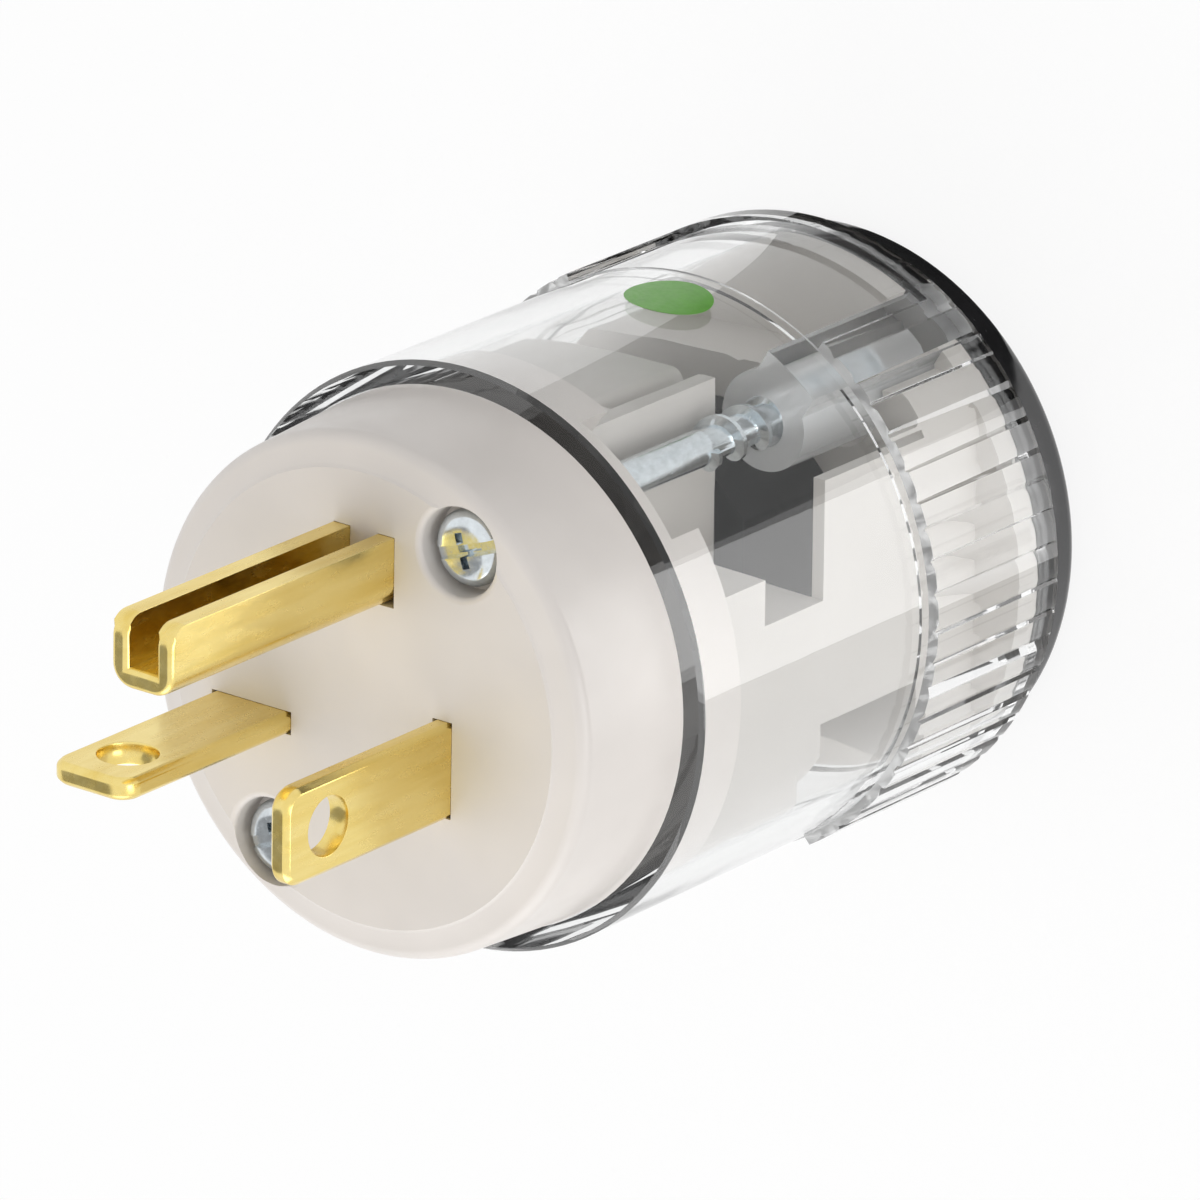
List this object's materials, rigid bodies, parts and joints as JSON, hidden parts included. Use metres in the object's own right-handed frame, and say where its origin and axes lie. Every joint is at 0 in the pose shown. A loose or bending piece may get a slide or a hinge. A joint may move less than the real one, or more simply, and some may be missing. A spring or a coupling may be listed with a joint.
{
  "type": "type b plug",
  "caption": "Straight-blade grounding plug with a clear ribbed housing, white face, brass blades, folded ground pin and a black seal for its cord.",
  "frame": {"origin": "on the plug's axis, at the rear face of the seal that it stands on", "axes": "+Z to the blade tips, +Y to the ground pin, +X to the upright hot blade"},
  "size_m": [0.0396, 0.0396, 0.0717],
  "materials": {
    "face_nylon": "satin moulded nylon",
    "inner_nylon": "satin moulded nylon",
    "brass": "rolled and lightly polished",
    "plated_steel": "bright zinc plate",
    "clear_plastic": "clear, polished mould",
    "black_nylon": "satin moulded nylon",
    "black_rubber": "glossy moulded rubber"
  },
  "bodies": {
    "root": {"face_base": "face_nylon", "terminal_block": "inner_nylon", "clamp_carrier": "inner_nylon", "hot_blade": "brass", "neutral_blade": "brass", "ground_pin": "brass", "hot_wire_clamp": "plated_steel", "neutral_wire_clamp": "plated_steel", "ground_wire_clamp": "plated_steel", "hot_terminal_screw": "plated_steel", "neutral_terminal_screw": "plated_steel", "ground_terminal_screw": "plated_steel", "clear_housing": "clear_plastic", "assembly_screws": "plated_steel", "right_cord_jaw": "black_nylon", "left_cord_jaw": "black_nylon", "cord_seal": "black_rubber"}
  },
  "joints": []
}
